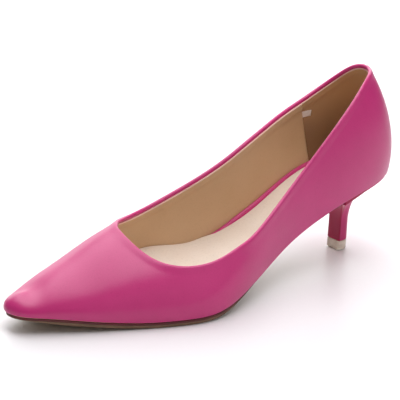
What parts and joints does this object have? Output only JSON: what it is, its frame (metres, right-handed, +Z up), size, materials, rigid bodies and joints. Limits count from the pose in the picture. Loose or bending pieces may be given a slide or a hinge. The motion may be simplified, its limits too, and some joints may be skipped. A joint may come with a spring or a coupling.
{
  "type": "pointed toe pump",
  "caption": "Low-cut pointed toe pump for the left foot, with a hollow leather upper, a curved sole, a slender flared heel and a clear top lift.",
  "frame": {"origin": "centre of the shoe's footprint box, on the floor it stands on", "axes": "+X from the toe to the heel, +Y from the lateral side to the medial side, +Z up"},
  "size_m": [0.2464, 0.0756, 0.1045],
  "materials": {
    "upper_leather": "smooth fuchsia leather, satin",
    "sole": "brown resin sole, matt",
    "insole_cover": "pink leather wrapped round the insole, satin",
    "sock_leather": "cream leather, matt",
    "heel_cover": "heel covered in smooth fuchsia, glossy",
    "clear_lift": "clear plastic with a warm tint",
    "pin_steel": "plain steel"
  },
  "bodies": {
    "root": {"upper": "upper_leather", "outsole": "sole", "insole": "insole_cover", "sock": "sock_leather", "heel_block": "heel_cover", "top_lift": "clear_lift", "lift_pin": "pin_steel"}
  },
  "joints": []
}
